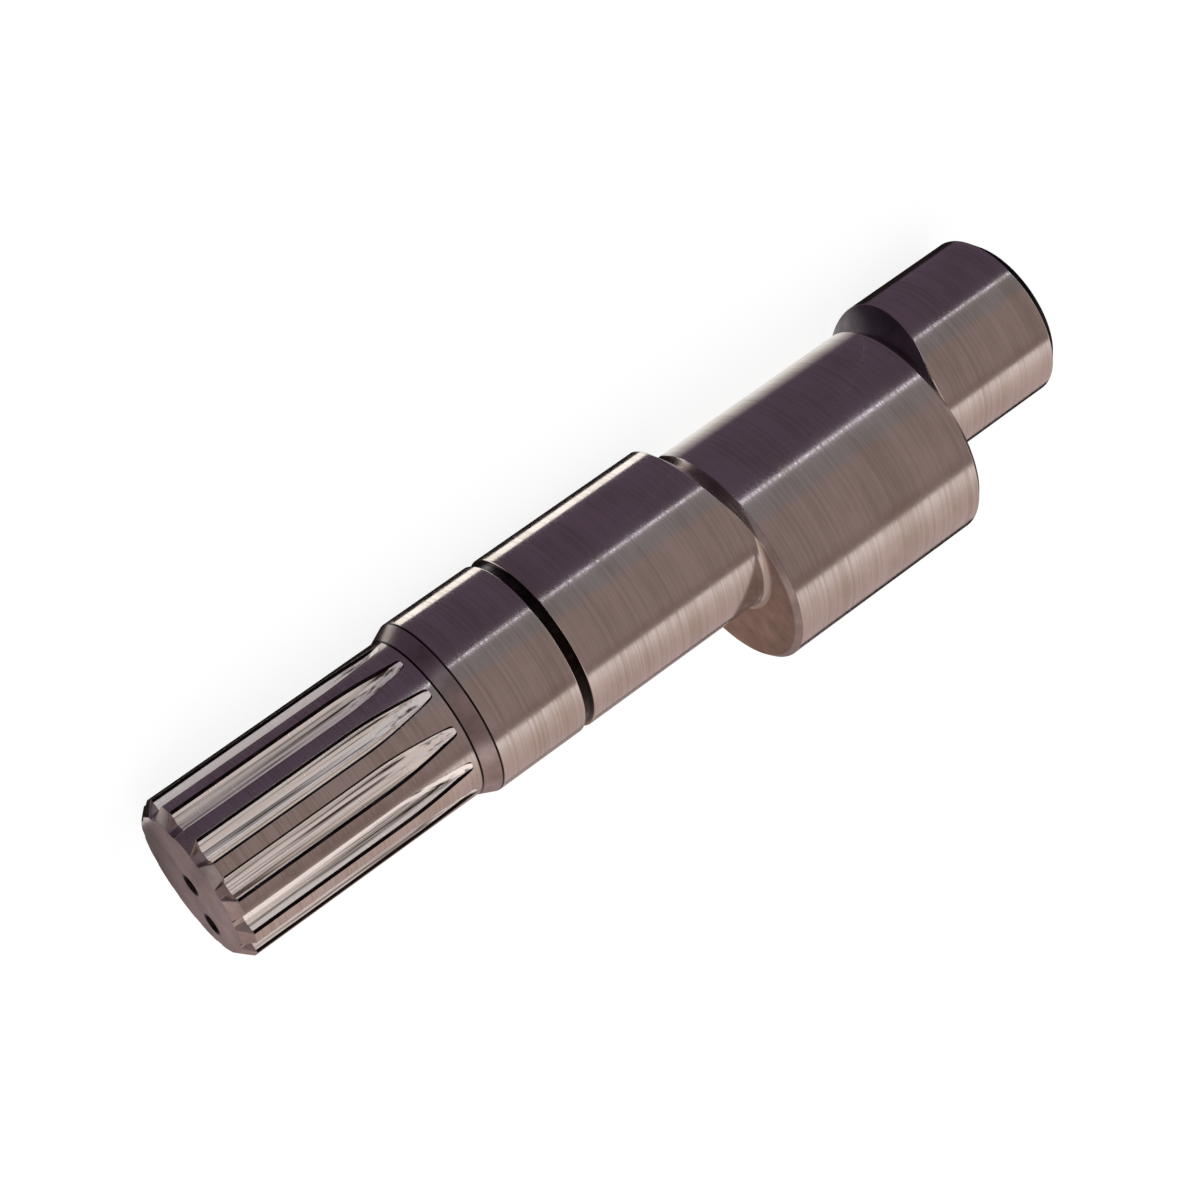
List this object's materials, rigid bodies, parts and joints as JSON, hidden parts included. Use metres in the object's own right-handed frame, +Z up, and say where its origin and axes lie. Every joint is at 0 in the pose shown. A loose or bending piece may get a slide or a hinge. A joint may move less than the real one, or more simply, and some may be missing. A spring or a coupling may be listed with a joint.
{
  "type": "eccentric pump shaft",
  "caption": "Steel pump shaft with a splined drive end, a grooved journal, an eccentric and a chamfered end journal.",
  "frame": {"origin": "on the main axis, at the face of the splined end", "axes": "+X along the main axis from the splined end to the end journal, +Z up with the shaft lying at rest on its journal and its eccentric, so the eccentric points to -Y and 28 degrees up"},
  "size_m": [0.1284, 0.032, 0.0296],
  "materials": {
    "ground_steel": "ground and finely turned, lightly oiled"
  },
  "bodies": {
    "root": {"pump_shaft": "ground_steel"}
  },
  "joints": []
}
